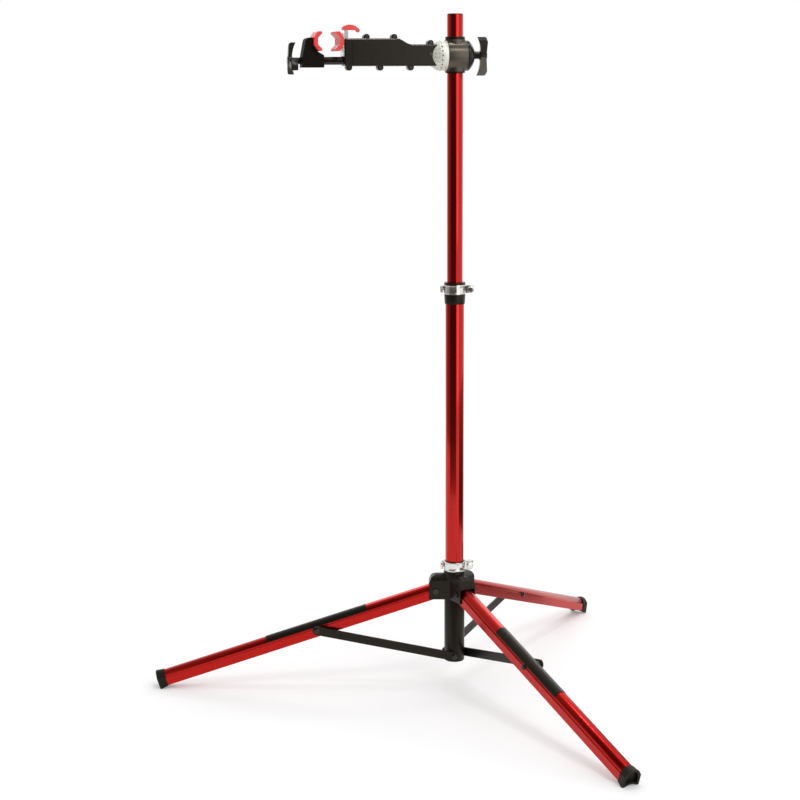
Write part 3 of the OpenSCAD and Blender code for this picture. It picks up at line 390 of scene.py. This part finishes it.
RED = (0.48, 0.011, 0.008)
BLACK = (0.0055, 0.0046, 0.0038)
DUSTY_BLACK = (0.0105, 0.0090, 0.0075)
BLACK_SHINE = 0.26
WARM_SHINE = (1.0, 0.87, 0.72, 1)
JAW_RED = (0.74, 0.036, 0.030)
JAW_PALE = (0.80, 0.060, 0.052)
# The hook's red is the jaws' red painted lighter and pinker, a painted highlight for strong light from
# above on its curved top
HOOK_RED_PAINTED_LIT = (0.78, 0.075, 0.070)
STEEL = (0.50, 0.49, 0.47)
UPRIGHT = (0, math.radians(90), 0)
# How far handling takes the roughness below and above its usual value
BLACK_WEAR = (0.05, 0.07)
METAL_WEAR = (0.04, 0.05)
JAW_ROUGHNESS = 0.36
JAW_WEAR = (0.06, 0.06)
BLACK_MOTTLE = 60
JAW_MOTTLE = 90


def red_tube(name, turn, low, high, coat):
    return drawn(material(name, RED, 1.0, (low + high) / 2, coat=coat), turn, low, high)


def black(name, roughness, scale, strength, distance, shine=BLACK_SHINE):
    made = grain(material(name, BLACK, 0.0, roughness), scale, strength, distance)
    shader = made.node_tree.nodes["Principled BSDF"]
    shader.inputs["Specular IOR Level"].default_value = shine
    shader.inputs["Specular Tint"].default_value = WARM_SHINE
    made = worn(made, roughness - BLACK_WEAR[0], roughness + BLACK_WEAR[1])
    return mottled(made, BLACK, DUSTY_BLACK, BLACK_MOTTLE)


def metal(name, color, roughness):
    made = material(name, color, 1.0, roughness)
    return worn(made, roughness - METAL_WEAR[0], roughness + METAL_WEAR[1])


def jaw_red(name, color):
    made = grain(material(name, color, 0.0, JAW_ROUGHNESS), 900, 0.05, 0.0003)
    made = worn(made, JAW_ROUGHNESS - JAW_WEAR[0], JAW_ROUGHNESS + JAW_WEAR[1])
    return mottled(made, color, JAW_PALE, JAW_MOTTLE)


surfaces = {
    "red_anodised": red_tube("red_anodised", UPRIGHT, 0.13, 0.20, 0.35),
    "black_metal": black("black_metal", 0.34, 900, 0.08, 0.0004),
    "chrome": metal("chrome", (0.74, 0.73, 0.70), 0.10),
    "steel": metal("steel", STEEL, 0.28),
    "dark_steel": metal("dark_steel", (0.050, 0.045, 0.040), 0.28),
    "bright_plate": metal("bright_plate", (0.72, 0.72, 0.70), 0.28),
    "silver_aluminium": turned(material("silver_aluminium", (0.70, 0.70, 0.63), 0.25, 0.34), 0.28, 0.42),
    "grey_aluminium": turned(
        material("grey_aluminium", (0.110, 0.096, 0.079), 1.0, 0.36, brushed=0.75), 0.30, 0.42),
    "black_plastic": black("black_plastic", 0.26, 1400, 0.10, 0.0003),
    "black_rubber": black("black_rubber", 0.55, 700, 0.15, 0.0005),
    "red_jaw": jaw_red("red_jaw", JAW_RED),
    "vinyl": black("vinyl", 0.24, 300, 0.04, 0.0002),
}

# Broken edges, in metres, where a piece has more or less than the usual
EDGE = 0.0004
EDGES = {
    "head_handle": 0.0014, "jaw_handle": 0.0014, "release_lever": 0.0012,
    "arm_shell_front": 0.0010, "arm_shell_rear": 0.0010, "jaw_carrier": 0.0014,
    "fixed_jaw": 0.0005, "moving_jaw": 0.0005, "tripod_hub": 0.0010,
    "foot_cap_1": 0.0007, "foot_cap_2": 0.0007, "foot_cap_3": 0.0007,
}
EDGE_SEGMENTS = 2
# Sharper turns than this are edges, and flatter ones than the second are one face
EDGE_ANGLE = math.radians(35)
FACE_ANGLE = math.radians(0.5)
WELD_GAP = 0.00001


def dress(node):
    """Gives a CAD node its surface, and breaks its sharp edges."""
    piece = nodes[node]
    piece.data.materials.clear()
    piece.data.materials.append(own_surface.get(node) or surfaces[slot_of[node]])
    weld = piece.modifiers.new("weld", "WELD")
    weld.merge_threshold = WELD_GAP
    flat = piece.modifiers.new("flat", "DECIMATE")
    flat.decimate_type = "DISSOLVE"
    flat.angle_limit = FACE_ANGLE
    bevel = piece.modifiers.new("bevel", "BEVEL")
    bevel.width = EDGES.get(node, EDGE)
    bevel.segments = EDGE_SEGMENTS
    bevel.limit_method = "ANGLE"
    bevel.angle_limit = EDGE_ANGLE


# Legs, labels, release lever and spring

LEGS = (1, 2, 3)
LEG_LEDGE = 0.0016
ARCH_RADIUS = 0.0139
# Stretch at the foot that counts as a leg's end
LEG_END = 0.012
# Labels on two legs: from where to where along the leg, and how they sit on the arch
LABELLED = (1, 2)
LABEL_FROM = 0.1495
LABEL_TO = 0.3700
LABEL_HALF_ANGLE = math.radians(77)
LABEL_LIFT = 0.00003
LABEL_THICK = 0.00018
LABEL_COLUMNS = 24
LABEL_ROWS = 40
LABEL_CREASE = math.radians(40)
# Release lever: the stem's side of it, and the hook's height above the stem
STEM_SPAN = 0.0138
HOOK_DEPTH = 0.0107
# Return spring: its coil radius, wire radius and turns, and the mesh along and round its wire
SPRING_RADIUS = 0.003
SPRING_WIRE = 0.00045
SPRING_TURNS = 2.5
SPRING_RINGS = 90
SPRING_SIDES = 12


def leg_frame(i):
    """A leg's frame at its pin: x to the foot, y level, z out of the arch."""
    hinge = joint_of[f"leg_fold_{i}"]
    pin = Vector(hinge["pos_m"])
    outward = Vector((pin.x, pin.y, 0)).normalized()
    level = Vector((0, 0, 1)).cross(outward)
    flat = [((v.co - pin).dot(outward), v.co.z - pin.z) for v in nodes[f"leg_{i}"].data.vertices]
    reach = max(x for x, _ in flat)
    # The foot end is cut square, so the middle of its edges lies on the leg's axis
    end = [p for p in flat if p[0] > reach - LEG_END]
    slope = math.atan2(-sum(z for _, z in end), sum(x for x, _ in end))
    along = math.cos(slope) * outward - math.sin(slope) * Vector((0, 0, 1))
    axes = Matrix((along, level, along.cross(level))).transposed().to_4x4()
    return Matrix.Translation(pin) @ axes, slope, math.atan2(outward.y, outward.x)


def hook_surface():
    """The release lever: a red finger hook on a plain steel stem, the hook's red painted lighter and pinker
    than the jaws' as a painted highlight of light from above.
    """
    low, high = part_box("release_lever")
    made = jaw_red("red_hook_painted_lit", HOOK_RED_PAINTED_LIT)
    tree = made.node_tree
    shader = tree.nodes["Principled BSDF"]
    beside = tree.nodes.new("ShaderNodeMath")
    beside.operation = "LESS_THAN"
    beside.inputs[1].default_value = low[0] + STEM_SPAN
    tree.links.new(own_place(tree, "X"), beside.inputs[0])
    under = tree.nodes.new("ShaderNodeMath")
    under.operation = "LESS_THAN"
    under.inputs[1].default_value = high[2] - HOOK_DEPTH
    tree.links.new(own_place(tree, "Z"), under.inputs[0])
    stem = tree.nodes.new("ShaderNodeMath")
    stem.operation = "MULTIPLY"
    tree.links.new(beside.outputs["Value"], stem.inputs[0])
    tree.links.new(under.outputs["Value"], stem.inputs[1])
    paint = tree.nodes.new("ShaderNodeMix")
    paint.data_type = "RGBA"
    tree.links.new(stem.outputs["Value"], paint.inputs["Factor"])
    tree.links.new(shader.inputs["Base Color"].links[0].from_socket, paint.inputs[MIX_FIRST])
    paint.inputs[MIX_SECOND].default_value = (*STEEL, 1)
    tree.links.new(paint.outputs[MIX_COLOR], shader.inputs["Base Color"])
    tree.links.new(stem.outputs["Value"], shader.inputs["Metallic"])
    return made


def label(i):
    """A plain black label of thin vinyl, wrapped over a leg's arch."""
    columns, rows = LABEL_COLUMNS, LABEL_ROWS
    mesh = bpy.data.meshes.new(f"leg_label_{i}")
    bm = bmesh.new()
    skins = []
    for radius in (ARCH_RADIUS + LABEL_LIFT, ARCH_RADIUS + LABEL_LIFT + LABEL_THICK):
        grid = []
        for r in range(rows + 1):
            along = LABEL_FROM + (LABEL_TO - LABEL_FROM) * r / rows
            line = []
            for c in range(columns + 1):
                angle = LABEL_HALF_ANGLE * (2 * c / columns - 1)
                point = Vector((along, radius * math.sin(angle), LEG_LEDGE + radius * math.cos(angle)))
                line.append(bm.verts.new(leg_place[i] @ point))
            grid.append(line)
        skins.append(grid)
    under, over = skins
    for r in range(rows):
        for c in range(columns):
            bm.faces.new((over[r][c], over[r + 1][c], over[r + 1][c + 1], over[r][c + 1]))
            bm.faces.new((under[r][c], under[r][c + 1], under[r + 1][c + 1], under[r + 1][c]))
    for r in range(rows):
        bm.faces.new((over[r][0], under[r][0], under[r + 1][0], over[r + 1][0]))
        bm.faces.new((over[r][-1], over[r + 1][-1], under[r + 1][-1], under[r][-1]))
    for c in range(columns):
        bm.faces.new((over[0][c], over[0][c + 1], under[0][c + 1], under[0][c]))
        bm.faces.new((over[-1][c], under[-1][c], under[-1][c + 1], over[-1][c + 1]))
    bmesh.ops.recalc_face_normals(bm, faces=bm.faces)
    for face in bm.faces:
        face.smooth = True
    bm.to_mesh(mesh)
    bm.free()
    mesh.set_sharp_from_angle(angle=LABEL_CREASE)
    mesh.materials.append(surfaces["vinyl"])
    piece = bpy.data.objects.new(f"leg_label_{i}", mesh)
    scene.collection.objects.link(piece)
    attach(piece, f"leg_assembly_{i}")


def spring():
    """The lever's return spring, a coil as tall as the CAD spring's box, riding on the arm."""
    rings, sides = SPRING_RINGS, SPRING_SIDES
    low, high = (Vector(corner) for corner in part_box("lever_spring"))
    center = Vector((low.x + high.x, low.y + high.y, 0)) / 2
    foot = low.z + SPRING_WIRE
    rise = high.z - low.z - 2 * SPRING_WIRE
    bm = bmesh.new()
    loops = []
    for k in range(rings + 1):
        angle = 2 * math.pi * SPRING_TURNS * k / rings
        out = Vector((math.cos(angle), math.sin(angle), 0))
        middle = center + SPRING_RADIUS * out + Vector((0, 0, foot + rise * k / rings))
        loop = []
        for s in range(sides):
            around = 2 * math.pi * s / sides
            offset = math.cos(around) * out + math.sin(around) * Vector((0, 0, 1))
            loop.append(bm.verts.new(middle + SPRING_WIRE * offset))
        loops.append(loop)
    for a, b in zip(loops, loops[1:]):
        for s in range(sides):
            t = (s + 1) % sides
            bm.faces.new((a[s], a[t], b[t], b[s]))
    bm.faces.new(loops[0])
    bm.faces.new(loops[-1])
    bmesh.ops.recalc_face_normals(bm, faces=bm.faces)
    for face in bm.faces:
        face.smooth = len(face.verts) == 4
    mesh = bpy.data.meshes.new("spring_coil")
    bm.to_mesh(mesh)
    bm.free()
    mesh.materials.append(surfaces["steel"])
    piece = bpy.data.objects.new("spring_coil", mesh)
    scene.collection.objects.link(piece)
    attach(piece, "arm")
    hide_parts("lever_spring")
    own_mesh(piece)


own_surface = {
    "release_lever": hook_surface(),
    "jaw_carrier": black("matt_plastic", 0.55, 1400, 0.10, 0.0003, shine=0.06),
}
leg_place = {}
for i in LEGS:
    leg_place[i], slope, turn = leg_frame(i)
    own_surface[f"leg_{i}"] = red_tube(f"red_anodised_{i}", (0, slope, turn), 0.23, 0.31, 0.18)
for i in LABELLED:
    label(i)
spring()

make_camera()
make_studio()
make_floor()
for node in nodes:
    dress(node)
scene.view_settings.view_transform = "Standard"
